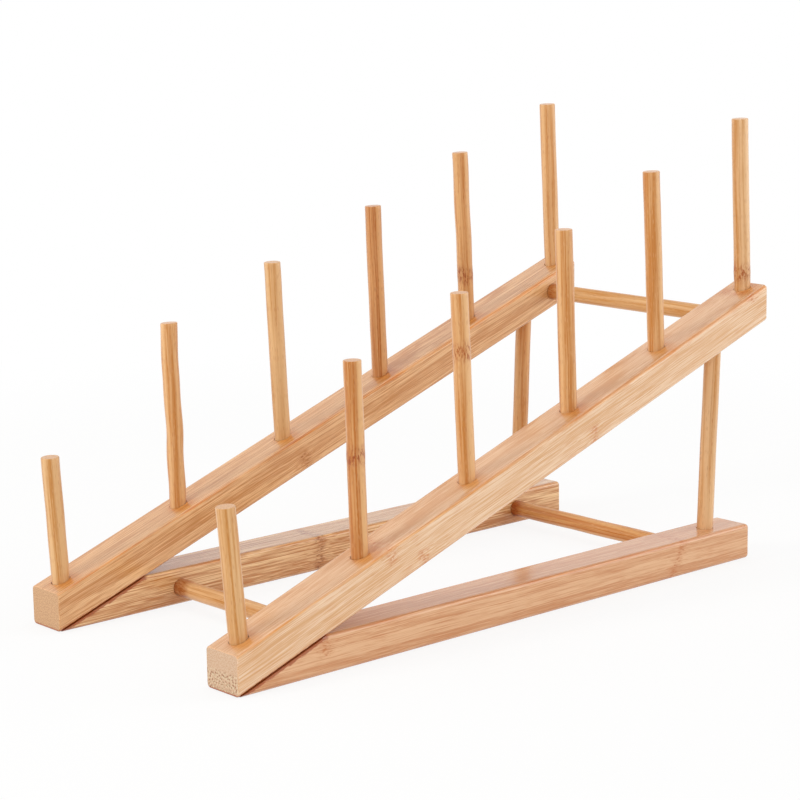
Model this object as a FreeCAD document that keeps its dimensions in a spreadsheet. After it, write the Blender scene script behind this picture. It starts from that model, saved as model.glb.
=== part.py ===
import FreeCAD, Part
import os

import Sketcher
from FreeCAD import Placement, Rotation, Vector

# Bamboo rack that holds cups, lids and plates on edge between two rows of upright pegs.
# Two wedge-shaped side frames stand side by side, held apart by three round bars.
# X runs from the low front end to the high rear end, Y across to the left, Z up.
# The origin is on the table, under the middle of the rack.

# Driving dimensions, in millimetres and degrees
DIMENSIONS = {
    # Rails and the wedge that two of them form
    "rack_length": 337.5,
    "rail_width": 22.0,
    "rail_height": 17.5,
    "slope_angle": 19.6,
    "frame_spacing": 134.3,
    "rear_overhang": 12.3,
    "tip_setback": 2.0,
    "edge_round": 2.0,
    "front_end_round": 0.6,
    "rear_end_round": 1.6,
    # Fit of every dowel in its blind hole, where it is glued and seated on the bottom
    "dowel_fit": 0.25,
    "dowel_end_round": 0.5,
    # Pegs, counted from the front, where the first is the short one. Their places are taken
    # along X at the top of the rail: evenly spaced, with the inner pegs shifted to the rear.
    # The first pegs are stouter, the left row's long pegs stand a little higher, two pegs of the
    # right row stand further back, and the first of these leans more
    "peg_diameter": 8.0,
    "front_peg_extra": 0.5,
    "peg_socket": 10.0,
    "peg_height_1": 58.9,
    "peg_height_2": 87.3,
    "peg_height_3": 86.6,
    "peg_height_4": 85.3,
    "peg_height_5": 86.0,
    "peg_height_6": 84.5,
    "left_peg_extra": 1.2,
    "peg_lean_1": 2.6,
    "peg_lean_2": 1.2,
    "peg_lean_3": 2.3,
    "peg_lean_4": 1.9,
    "peg_lean_5": 2.6,
    "peg_lean_6": 2.2,
    "crooked_peg_lean": 4.65,
    "front_peg_setback": 8.6,
    "rear_peg_setback": 6.9,
    "peg_shift_2": 3.9,
    "peg_shift_3": 4.3,
    "peg_shift_4": 4.5,
    "peg_shift_5": 1.3,
    "crooked_peg_shift": 0.5,
    "late_peg_shift": 0.9,
    # Posts, placed from the rear end of the base rail at its top
    "post_diameter": 8.0,
    "post_lean": 3.1,
    "post_inset": 21.3,
    "post_socket": 9.0,
    # Crossbars, set a little below the middle of the rails that hold them
    "bar_diameter": 8.0,
    "bar_socket": 10.0,
    "front_bar_setback": 68.9,
    "rear_bar_inset": 33.5,
    "top_bar_inset": 17.5,
    "bar_drop": 0.4,
    # Screws that hold the wedge joints from below
    "screw_setback": 38.0,
    "screw_length": 25.0,
    "screw_diameter": 3.5,
    "screw_core_diameter": 2.4,
    "screw_thread_length": 15.0,
    "screw_thread_pitch": 1.5,
    "screw_tip_length": 3.0,
    "screw_tip_spare": 1.0,
    "screw_head_diameter": 7.0,
    "screw_head_height": 2.2,
    "screw_head_sink": 1.0,
    "screw_fit": 0.2,
    "screw_cross_length": 4.2,
    "screw_cross_width": 1.0,
    "screw_cross_depth": 1.5,
}

PEG_COUNT = 6
SIDES = {"left": 1, "right": -1}
CROOKED_PEG = ("right", 1)
LATE_PEG = ("right", 4)

# Cutters reach this far past the face that they enter
OVERSHOOT = 5.0

# Places and directions closer than this count as the same
SAME = 1e-6

X_AXIS = Vector(1, 0, 0)
Y_AXIS = Vector(0, 1, 0)

# Sizes that follow from the driving dimensions, as expressions
PEG_ROW = "(dims.rack_length - dims.front_peg_setback - dims.rear_peg_setback)"
RISE_PER_RUN = "tan(dims.slope_angle)"
SLOPED_HEIGHT = "(dims.rail_height / cos(dims.slope_angle))"
FRONT = "-dims.rack_length / 2"
BASE_END = "(dims.rack_length - dims.rear_overhang)"
POST_PLACE = f"({BASE_END} - dims.post_inset)"
POST_SPAN = (
    f"(({POST_PLACE} * {RISE_PER_RUN} - dims.rail_height)"
    f" / (cos(dims.post_lean) - sin(dims.post_lean) * {RISE_PER_RUN}))"
)
REAR_BAR_PLACE = f"({BASE_END} - dims.rear_bar_inset)"
LOW_BAR_LEVEL = "(dims.rail_height / 2 - dims.bar_drop)"
TOP_BAR_PLACE = "(dims.rack_length - dims.top_bar_inset)"
TOP_BAR_LEVEL = f"({TOP_BAR_PLACE} * {RISE_PER_RUN} + {SLOPED_HEIGHT} / 2 - dims.bar_drop)"
BAR_LENGTH = "(dims.frame_spacing - dims.rail_width + 2 * dims.bar_socket)"

doc = FreeCAD.newDocument("cup_drying_rack")
sheet = doc.addObject("Spreadsheet::Sheet", "dims")
for row, (name, size) in enumerate(DIMENSIONS.items(), start=1):
    sheet.set(f"A{row}", name)
    sheet.set(f"B{row}", str(size))
    sheet.setAlias(f"B{row}", name)
doc.recompute()


def worth(expression):
    """The number that an expression of the sheet's sizes comes to."""
    return float(sheet.evalExpression(expression))


def peg_place(name, number):
    """Distance of a peg from the front face, as an expression."""
    steps = [f"dims.front_peg_setback + {PEG_ROW} * {number - 1} / {PEG_COUNT - 1}"]
    if number not in (1, PEG_COUNT):
        steps.append(f"dims.peg_shift_{number}")
    if (name, number) == CROOKED_PEG:
        steps.append("dims.crooked_peg_shift")
    if (name, number) == LATE_PEG:
        steps.append("dims.late_peg_shift")
    return f"({' + '.join(steps)})"


def peg_diameter(number):
    """A peg's diameter, as an expression."""
    return "(dims.peg_diameter + dims.front_peg_extra)" if number == 1 else "dims.peg_diameter"


def peg_height(name, number):
    """How far a peg stands out of its rail, as an expression."""
    taller = name == "left" and number > 1
    return f"(dims.peg_height_{number} + dims.left_peg_extra)" if taller else f"dims.peg_height_{number}"


def peg_lean(name, number):
    """How far a peg leans to the front, as an expression."""
    return "dims.crooked_peg_lean" if (name, number) == CROOKED_PEG else f"dims.peg_lean_{number}"


def rail_top(place):
    """Height of a sloped rail's top above the table at a distance from the front face."""
    return f"({place} * {RISE_PER_RUN} + {SLOPED_HEIGHT})"


def frame_middle(side):
    """Y of the middle of one side frame."""
    return f"{side} * dims.frame_spacing / 2"


def place(thing, x, y, z, axis=Y_AXIS, angle="0"):
    """Bind a body's or a feature's place and its turn about an axis to expressions."""
    thing.Placement = Placement(Vector(0, 0, 0), Rotation(axis, 1))
    bound = {"Base.x": x, "Base.y": y, "Base.z": z, "Rotation.Angle": angle}
    for path, expression in bound.items():
        thing.setExpression("Placement." + path, expression)


def new_body(label):
    """An empty body with its label."""
    body = doc.addObject("PartDesign::Body", label)
    body.Label = label
    return body


def new_sketch(body, role, name):
    """A sketch on one of the body's own origin planes."""
    plane = next(item for item in body.Origin.OriginFeatures if item.Role == role)
    sketch = body.newObject("Sketcher::SketchObject", name)
    sketch.AttachmentSupport = (plane, [""])
    sketch.MapMode = "FlatFace"
    return sketch


def draw_outline(sketch, corners):
    """A closed outline of straight lines, each corner held at its two expressions."""
    points = [Vector(worth(across), worth(up), 0) for across, up in corners]
    for start, end in zip(points, points[1:] + points[:1]):
        sketch.addGeometry(Part.LineSegment(start, end), False)
    for line in range(len(points)):
        after = (line + 1) % len(points)
        sketch.addConstraint(Sketcher.Constraint("Coincident", line, 2, after, 1))
    for line, corner in enumerate(corners):
        for kind, expression in zip(("DistanceX", "DistanceY"), corner):
            rule = Sketcher.Constraint(kind, -1, 1, line, 1, worth(expression))
            index = sketch.addConstraint(rule)
            sketch.setExpression(f"Constraints[{index}]", expression)


def pad_both_ways(body, sketch, width):
    """Pad a sketch evenly to both sides of its plane."""
    pad = body.newObject("PartDesign::Pad", "pad")
    pad.Profile = sketch
    pad.SideType = "Symmetric"
    pad.setExpression("Length", width)
    doc.recompute()
    return pad


def round_edges(body, edges, radius):
    """Round some edges of the body's last feature."""
    base = body.Tip
    names = [
        f"Edge{number}"
        for number, edge in enumerate(base.Shape.Edges, start=1)
        if any(edge.isSame(wanted) for wanted in edges)
    ]
    fillet = body.newObject("PartDesign::Fillet", "rounding")
    fillet.Base = (base, names)
    fillet.setExpression("Radius", radius)
    doc.recompute()


def edges_along(shape, direction):
    """The straight edges of a shape that run along a direction."""
    found = []
    for edge in shape.Edges:
        if isinstance(edge.Curve, Part.Line) and edge.Curve.Direction.cross(direction).Length < SAME:
            found.append(edge)
    return found


def end_face_edges(shape, x):
    """The edges of the upright end face that lies at a distance along X."""
    for face in shape.Faces:
        upright = isinstance(face.Surface, Part.Plane) and face.Surface.Axis.cross(X_AXIS).Length < SAME
        if upright and abs(face.CenterOfMass.x - x) < SAME:
            return face.Edges
    raise RuntimeError(f"no end face at {x}")


def end_round(end):
    """Radius round a rail's front or rear face, no larger than that of the edges that run into it."""
    return f"min(dims.{end}_end_round; dims.edge_round)"


def cut(body, kind, sizes, *placing):
    """Take a primitive out of a body and make sure that it meets the solid."""
    before = body.Shape.Volume
    cutter = body.newObject(f"PartDesign::Subtractive{kind}", "cutter")
    for size, expression in sizes.items():
        cutter.setExpression(size, expression)
    place(cutter, *placing)
    doc.recompute()
    if body.Shape.Volume >= before:
        raise RuntimeError(f"{body.Label}: a cutter misses the solid")


def drill(body, radius, depth, *placing):
    """Drill a round hole from a point along the cutter's own Z."""
    cut(body, "Cylinder", {"Radius": radius, "Height": depth}, *placing)


def hole_radius(diameter):
    """Radius of the hole for a dowel of some diameter."""
    return f"{diameter} / 2 + dims.dowel_fit"


def drill_crossbar_hole(body, side, x, z):
    """A blind hole for a crossbar's end, from the inner face of a rail."""
    start = f"{-side} * (dims.rail_width / 2 + {OVERSHOOT})"
    depth = f"dims.bar_socket + {OVERSHOOT}"
    drill(body, hole_radius("dims.bar_diameter"), depth, x, start, z, X_AXIS, str(-90 * side))


def make_base_rail(name, side):
    """A rail that lies on the table, its front cut to a wedge under the sloped rail."""
    body = new_body(f"base_rail_{name}")
    outline = [
        ("dims.tip_setback", "0"),
        (BASE_END, "0"),
        (BASE_END, "dims.rail_height"),
        ("dims.tip_setback", "dims.rail_height"),
    ]
    profile = new_sketch(body, "XZ_Plane", "profile")
    draw_outline(profile, outline)
    pad_both_ways(body, profile, "dims.rail_width")
    round_edges(body, edges_along(body.Tip.Shape, X_AXIS), "dims.edge_round")

    # The wedge cut follows the underside of the sloped rail and clears the rail's height
    clear = "2 * dims.rail_height"
    above_joint = [("0", "0"), (f"{clear} / {RISE_PER_RUN}", clear), ("0", clear)]
    wedge = new_sketch(body, "XZ_Plane", "wedge")
    draw_outline(wedge, above_joint)
    before = body.Shape.Volume
    pocket = body.newObject("PartDesign::Pocket", "wedge_cut")
    pocket.Profile = wedge
    pocket.SideType = "Symmetric"
    pocket.setExpression("Length", f"dims.rail_width + {OVERSHOOT}")
    doc.recompute()
    if body.Shape.Volume >= before:
        raise RuntimeError(f"{body.Label}: the wedge cut misses the rail")
    round_edges(body, end_face_edges(body.Tip.Shape, worth(BASE_END)), end_round("rear"))

    for bar_place in ("dims.front_bar_setback", REAR_BAR_PLACE):
        drill_crossbar_hole(body, side, bar_place, LOW_BAR_LEVEL)

    # The post's hole starts at its bottom and leans with the post
    drill(
        body,
        hole_radius("dims.post_diameter"),
        f"dims.post_socket + {OVERSHOOT}",
        f"{POST_PLACE} - dims.post_socket * sin(dims.post_lean)",
        "0",
        "dims.rail_height - dims.post_socket * cos(dims.post_lean)",
        Y_AXIS,
        "dims.post_lean",
    )

    # Stepped hole for the screw: room for its sunk head, the cone that the head seats on, its shank
    head_radius = "dims.screw_head_diameter / 2"
    shank_radius = "dims.screw_diameter / 2"
    middle = ("dims.screw_setback", "0")
    room = f"{head_radius} + dims.screw_fit"
    drill(body, room, f"dims.screw_head_sink + {OVERSHOOT}", *middle, f"-{OVERSHOOT}")
    seat = {"Radius1": head_radius, "Radius2": shank_radius, "Height": "dims.screw_head_height"}
    cut(body, "Cone", seat, *middle, "dims.screw_head_sink")
    drill(body, f"{shank_radius} + dims.screw_fit", "dims.screw_length", *middle, "dims.screw_head_sink")
    place(body, FRONT, frame_middle(side), "0")
    return body


def make_sloped_rail(name, side):
    """A rail that climbs to the rear and carries the pegs, both ends cut upright."""
    body = new_body(f"sloped_rail_{name}")
    rear_rise = f"dims.rack_length * {RISE_PER_RUN}"
    outline = [
        ("0", "0"),
        ("dims.rack_length", rear_rise),
        ("dims.rack_length", f"{rear_rise} + {SLOPED_HEIGHT}"),
        ("0", SLOPED_HEIGHT),
    ]
    profile = new_sketch(body, "XZ_Plane", "profile")
    draw_outline(profile, outline)
    pad_both_ways(body, profile, "dims.rail_width")
    uphill = Vector(worth("dims.rack_length"), 0, worth(rear_rise)).normalize()
    round_edges(body, edges_along(body.Tip.Shape, uphill), "dims.edge_round")
    round_edges(body, end_face_edges(body.Tip.Shape, 0), end_round("front"))
    rear_face = end_face_edges(body.Tip.Shape, worth("dims.rack_length"))
    round_edges(body, rear_face, end_round("rear"))

    # Each peg's hole starts at its bottom and leans with the peg
    for number in range(1, PEG_COUNT + 1):
        spot = peg_place(name, number)
        lean = peg_lean(name, number)
        drill(
            body,
            hole_radius(peg_diameter(number)),
            f"dims.peg_socket + {OVERSHOOT}",
            f"{spot} + dims.peg_socket * sin({lean})",
            "0",
            f"{rail_top(spot)} - dims.peg_socket * cos({lean})",
            Y_AXIS,
            f"-{lean}",
        )

    # The post's hole starts inside the gap under the rail
    below = f"({POST_SPAN} - {OVERSHOOT})"
    drill(
        body,
        hole_radius("dims.post_diameter"),
        f"dims.post_socket + {OVERSHOOT}",
        f"{POST_PLACE} + {below} * sin(dims.post_lean)",
        "0",
        f"dims.rail_height + {below} * cos(dims.post_lean)",
        Y_AXIS,
        "dims.post_lean",
    )
    drill_crossbar_hole(body, side, TOP_BAR_PLACE, TOP_BAR_LEVEL)
    drill(
        body,
        "dims.screw_diameter / 2 + dims.screw_fit",
        "dims.screw_length + dims.screw_tip_spare",
        "dims.screw_setback",
        "0",
        "dims.screw_head_sink",
    )
    place(body, FRONT, frame_middle(side), "0")
    return body


def make_dowel(label, diameter, length):
    """A round bar along Z from its lower end, both rims eased."""
    body = new_body(label)
    section = new_sketch(body, "XY_Plane", "section")
    section.addGeometry(Part.Circle(Vector(0, 0, 0), Vector(0, 0, 1), worth(diameter) / 2), False)
    section.addConstraint(Sketcher.Constraint("Coincident", 0, 3, -1, 1))
    index = section.addConstraint(Sketcher.Constraint("Diameter", 0, worth(diameter)))
    section.setExpression(f"Constraints[{index}]", diameter)
    pad = body.newObject("PartDesign::Pad", "pad")
    pad.Profile = section
    pad.setExpression("Length", length)
    doc.recompute()
    rims = [edge for edge in body.Tip.Shape.Edges if isinstance(edge.Curve, Part.Circle)]
    round_edges(body, rims, "dims.dowel_end_round")
    return body


def make_peg(name, side, number):
    """An upright peg in its hole."""
    length = f"{peg_height(name, number)} + dims.peg_socket"
    body = make_dowel(f"peg_{name}_{number}", peg_diameter(number), length)
    spot = peg_place(name, number)
    lean = peg_lean(name, number)
    place(
        body,
        f"{FRONT} + {spot} + dims.peg_socket * sin({lean})",
        frame_middle(side),
        f"{rail_top(spot)} - dims.peg_socket * cos({lean})",
        Y_AXIS,
        f"-{lean}",
    )
    return body


def make_post(name, side):
    """The post that carries the rear of a sloped rail, its ends in both rails."""
    length = f"{POST_SPAN} + 2 * dims.post_socket"
    body = make_dowel(f"rear_post_{name}", "dims.post_diameter", length)
    place(
        body,
        f"{FRONT} + {POST_PLACE} - dims.post_socket * sin(dims.post_lean)",
        frame_middle(side),
        "dims.rail_height - dims.post_socket * cos(dims.post_lean)",
        Y_AXIS,
        "dims.post_lean",
    )
    return body


def make_crossbar(label, x, z):
    """A bar that holds the two side frames apart, its ends in blind holes."""
    body = make_dowel(label, "dims.bar_diameter", BAR_LENGTH)
    place(body, f"{FRONT} + {x}", f"-{BAR_LENGTH} / 2", z, X_AXIS, "-90")
    return body


def make_screw(name, side):
    """A countersunk wood screw that points up, its head at its own origin."""
    body = new_body(f"joint_screw_{name}")
    shank_radius = "dims.screw_diameter / 2"
    core_radius = "dims.screw_core_diameter / 2"
    core_start = "(dims.screw_length - dims.screw_thread_length)"
    tip_start = "(dims.screw_length - dims.screw_tip_length)"
    outline = [
        ("0", "0"),
        ("dims.screw_head_diameter / 2", "0"),
        (shank_radius, "dims.screw_head_height"),
        (shank_radius, core_start),
        (core_radius, core_start),
        (core_radius, tip_start),
        ("0", "dims.screw_length"),
    ]
    blank = new_sketch(body, "XZ_Plane", "blank")
    draw_outline(blank, outline)
    turned = body.newObject("PartDesign::Revolution", "turned_blank")
    turned.Profile = blank
    turned.ReferenceAxis = (blank, ["V_Axis"])
    turned.Angle = 360
    doc.recompute()

    # One thread ridge, drawn as a ring, and its copies along the core
    middle = f"({core_start} + dims.screw_thread_pitch)"
    half = "dims.screw_thread_pitch / 3"
    ridge = new_sketch(body, "XZ_Plane", "ridge")
    ring = [("0", f"{middle} - {half}"), (shank_radius, middle), ("0", f"{middle} + {half}")]
    draw_outline(ridge, ring)
    thread = body.newObject("PartDesign::Revolution", "thread_ridge")
    thread.Profile = ridge
    thread.ReferenceAxis = (ridge, ["V_Axis"])
    thread.Angle = 360
    doc.recompute()
    copies = body.newObject("PartDesign::LinearPattern", "thread")
    copies.Originals = [thread]
    copies.Direction = (ridge, ["V_Axis"])
    threaded = "(dims.screw_thread_length - dims.screw_tip_length - 2 * dims.screw_thread_pitch)"
    ridge_count = f"floor({threaded} / dims.screw_thread_pitch) + 1"
    copies.setExpression("Occurrences", ridge_count)
    copies.setExpression("Length", f"dims.screw_thread_pitch * ({ridge_count} - 1)")
    body.Tip = copies
    doc.recompute()

    # Cross recess for the driver
    long_side = "dims.screw_cross_length"
    short_side = "dims.screw_cross_width"
    for across, along in ((long_side, short_side), (short_side, long_side)):
        slot = {"Length": across, "Width": along, "Height": "dims.screw_cross_depth"}
        cut(body, "Box", slot, f"-{across} / 2", f"-{along} / 2", "0")
    place(body, f"{FRONT} + dims.screw_setback", frame_middle(side), "dims.screw_head_sink")
    return body


sub_parts = []
for side_name, side_sign in SIDES.items():
    sub_parts.append(make_base_rail(side_name, side_sign))
    sub_parts.append(make_sloped_rail(side_name, side_sign))
    sub_parts.append(make_post(side_name, side_sign))
    for peg_number in range(1, PEG_COUNT + 1):
        sub_parts.append(make_peg(side_name, side_sign, peg_number))

sub_parts.append(make_crossbar("front_crossbar", "dims.front_bar_setback", LOW_BAR_LEVEL))
sub_parts.append(make_crossbar("rear_crossbar", REAR_BAR_PLACE, LOW_BAR_LEVEL))
sub_parts.append(make_crossbar("top_crossbar", TOP_BAR_PLACE, TOP_BAR_LEVEL))

joint_screws = doc.addObject("Part::Compound", "joint_screws")
joint_screws.Label = "joint_screws"
joint_screws.Links = [make_screw(side_name, side_sign) for side_name, side_sign in SIDES.items()]
sub_parts.append(joint_screws)
doc.recompute()

for item in doc.Objects:
    if "Invalid" in item.State or "Error" in item.State:
        raise RuntimeError(f"{item.Label} did not recompute")
for sub_part in sub_parts:
    if sub_part.Shape.isNull() or not sub_part.Shape.isValid():
        raise RuntimeError(f"{sub_part.Label} has no valid shape")

os.makedirs("parts", exist_ok=True)
for sub_part in sub_parts:
    sub_part.Shape.exportStep(os.path.join("parts", f"{sub_part.Label}.step"))
    print(f"{sub_part.Label}: {len(sub_part.Shape.Solids)} solid, {sub_part.Shape.Volume:.1f} mm3")
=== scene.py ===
"""Looks of the bamboo cup drying rack: its wood, its light and its camera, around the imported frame."""
import logging
import math
from dataclasses import dataclass, field, replace
from enum import Enum, IntEnum
from typing import Any, Mapping

import bmesh
import bpy
import numpy as np
from bpy.types import NodeSocket
from mathutils import Euler, Matrix, Vector, noise


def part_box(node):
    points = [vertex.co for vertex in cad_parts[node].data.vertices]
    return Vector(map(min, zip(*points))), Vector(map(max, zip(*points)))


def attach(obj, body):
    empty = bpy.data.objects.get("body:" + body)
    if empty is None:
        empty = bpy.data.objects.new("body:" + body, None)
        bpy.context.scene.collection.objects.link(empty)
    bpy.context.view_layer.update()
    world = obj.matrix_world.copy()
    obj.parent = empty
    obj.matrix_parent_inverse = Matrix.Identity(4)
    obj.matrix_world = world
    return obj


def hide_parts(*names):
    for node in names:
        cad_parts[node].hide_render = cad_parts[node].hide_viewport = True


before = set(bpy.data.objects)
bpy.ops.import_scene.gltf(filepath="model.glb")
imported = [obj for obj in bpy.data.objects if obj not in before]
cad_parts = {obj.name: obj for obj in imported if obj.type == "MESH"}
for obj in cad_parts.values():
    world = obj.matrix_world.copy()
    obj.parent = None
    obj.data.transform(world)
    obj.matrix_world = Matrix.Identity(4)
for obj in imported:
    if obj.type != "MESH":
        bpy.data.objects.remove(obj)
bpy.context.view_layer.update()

BODY = "root"
MM = 0.001
WHITE = (1.0, 1.0, 1.0, 1.0)
VARNISH_IOR = 1.5

# How a seed moves a pattern along each axis, and how it moves the seams between strips
SEED_SPREAD = (1.0, 1.7, 2.3)
STRIP_SHIFT = 0.37

# Both rails of a joint share this seed, so that their halves of the seam meet
GLUE_AND_SHADE_SEED = 5.0

# Where patterns fade in, by a Map Range node's inputs: From Min and From Max, then To Min and To Max
TONE_FADE = {1: 0.2, 2: 0.8}
SEAM_FADE = {1: 0.42, 2: 0.62}
FLECK_FADE = {1: 0.45, 2: 0.12}
FLECK_CHANCE = {1: 0.35, 2: 0.9}
DASH_FADE = {1: 0.46, 2: 0.62}
EDGE_FADE = {1: 0.8, 2: 1.35}
WEAR_FADE = {1: 0.35, 2: 0.65, 3: 0.15, 4: 1.0}
GLUE_AND_SHADE_FADE = {1: 2.5, 2: 1.7}
END_FADE = {1: 0.8, 2: 0.93}
DOT_FADE = {1: 0.42, 2: 0.12}

# What many nodes are set to: a fade with soft ends, a mix of two colours and a tint over a colour
SMOOTH = {"interpolation_type": "SMOOTHSTEP"}
BLEND = {"out": 2, "data_type": "RGBA"}
TINT = {"out": 2, "data_type": "RGBA", "blend_type": "MULTIPLY"}

# A linear colour with its alpha, and what feeds an input: another node's output or a plain number
Colour = tuple[float, float, float, float]
Feed = NodeSocket | float

log = logging.getLogger("cup_drying_rack")


def linear(hex_colour: str) -> Colour:
    """Turn an sRGB hex colour into the linear colour that a shader socket takes.

    Args:
        hex_colour: Six hex digits with a leading hash sign.

    Returns:
        Linear red, green and blue, and an alpha of 1.
    """
    channels = [int(hex_colour[start : start + 2], 16) / 255 for start in (1, 3, 5)]
    curve = [c / 12.92 if c <= 0.04045 else ((c + 0.055) / 1.055) ** 2.4 for c in channels]
    return (*curve, 1.0)


def bell(distance: float) -> float:
    """A smooth hump that is 1 at no distance and fades to nothing at a distance of 1 either way."""
    return max(0.0, 1.0 - distance * distance) ** 2


class Graph:
    """The node tree of a material or a world, with one way of adding nodes to it."""

    def __init__(self, owner: bpy.types.Material | bpy.types.World) -> None:
        """Start the owner's tree from nothing."""
        owner.use_nodes = True
        self.tree = owner.node_tree
        self.tree.nodes.clear()

    def add(
        self, kind: str, inputs: Mapping[int | str, Any], out: int | str | None = 0, **settings: Any
    ) -> NodeSocket | None:
        """Add one node.

        Args:
            kind: The node's type, without the word ShaderNode in front.
            inputs: For each input, by name or number, the socket that feeds it or its own value.
            out: The output that is wanted, by name or number, or None for a node without one.
            settings: The node's properties.

        Returns:
            The socket of that output.
        """
        node = self.tree.nodes.new("ShaderNode" + kind)
        for name, value in settings.items():
            setattr(node, name, value)
        for key, value in inputs.items():
            if isinstance(value, NodeSocket):
                self.tree.links.new(value, node.inputs[key])
            else:
                node.inputs[key].default_value = value
        return None if out is None else node.outputs[out]


class Side(Enum):
    """The two side frames, as the nodes' names spell them."""

    LEFT = "left"
    RIGHT = "right"


class SeedStep(IntEnum):
    """How far a pattern's seed lies from its piece's own, so that no two patterns run together."""

    RAG = 3
    STREAKS = 7
    SEAMS = 21
    DASHES = 31
    PALE_FLECKS = 41
    EDGE_WEAR = 51


class Tone(Enum):
    """How dark a length of bamboo is: its soft tissue, its fibres and its dark flecks."""

    CREAM = ("#F1D1B0", "#D8A470", "#CC8350")
    PALE = ("#E6B78B", "#CA8A58", "#C07238")
    TAN = ("#EFC18E", "#C4854A", "#A9621F")
    TAWNY = ("#FAD5A2", "#BE7A3E", "#9A5518")
    STRAW = ("#E6B986", "#C0803A", "#A85A1E")
    HONEY = ("#E0B27C", "#C28238", "#AC5E20")
    AMBER = ("#E2B078", "#C0782A", "#A65312")
    TOFFEE = ("#DEAA70", "#B86C1E", "#9A460A")
    RUSSET = ("#D69C62", "#AC5E0E", "#8A4408")


@dataclass(frozen=True)
class Lay:
    """Where a length of bamboo starts and how its grain is turned: along its own X."""

    start: Vector
    turn: Euler

    @property
    def grain(self) -> Vector:
        """The direction of the grain."""
        return self.turn.to_matrix() @ Vector((1, 0, 0))

    def millimetres(self, graph: Graph, place: NodeSocket) -> NodeSocket:
        """Object coordinates as millimetres along the grain and across it."""
        inputs = {0: place, 1: self.start, 2: self.turn, 3: (MM, MM, MM)}
        return graph.add("Mapping", inputs, vector_type="TEXTURE")


@dataclass(frozen=True)
class GrainAndSheenSlab:
    """A darker or paler slab that runs through a dowel, in millimetres from its middle. Pale slabs
    towards a dowel's sides are painted sheen; darker slabs darken the dowel where they run.
    """

    offset: float
    half_width: float
    shade: float


@dataclass(frozen=True)
class Knuckle:
    """A knuckle of the cane in one strip: its place along the piece, its height and half its height.

    All are in millimetres; a knuckle with the usual height goes all through a dowel. The lean is
    how far its mark moves along the piece for each millimetre of height.
    """

    place: float
    height: float = 0.0
    half_height: float = 50.0
    lean: float = 0.0


@dataclass(frozen=True)
class Growth:
    """What is a length of bamboo's own: its tone, its cane's knuckles and its darker and paler slabs, of
    which the pale ones at a dowel's sides are painted sheen.

    The seed moves every pattern, and the top shade tint is a painted shade on a rail's top face.
    """

    tone: Tone
    seed: float
    knuckles: tuple[Knuckle, ...] = ()
    layers: tuple[GrainAndSheenSlab, ...] = ()
    top_shade_tint: str = "#FFFFFF"


@dataclass(frozen=True)
class Section:
    """A rail's section, the joint in it and the places of the pegs' feet along it.

    Lengths are in millimetres and the slope is in radians. Up to the coarse end, the bundles in the
    rail's sawn ends are coarse.
    """

    width: float
    height: float
    edge_round: float
    joint_slope: float
    joint_end: float
    coarse_end: float = 0.0
    feet: tuple[float, ...] = ()


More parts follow.
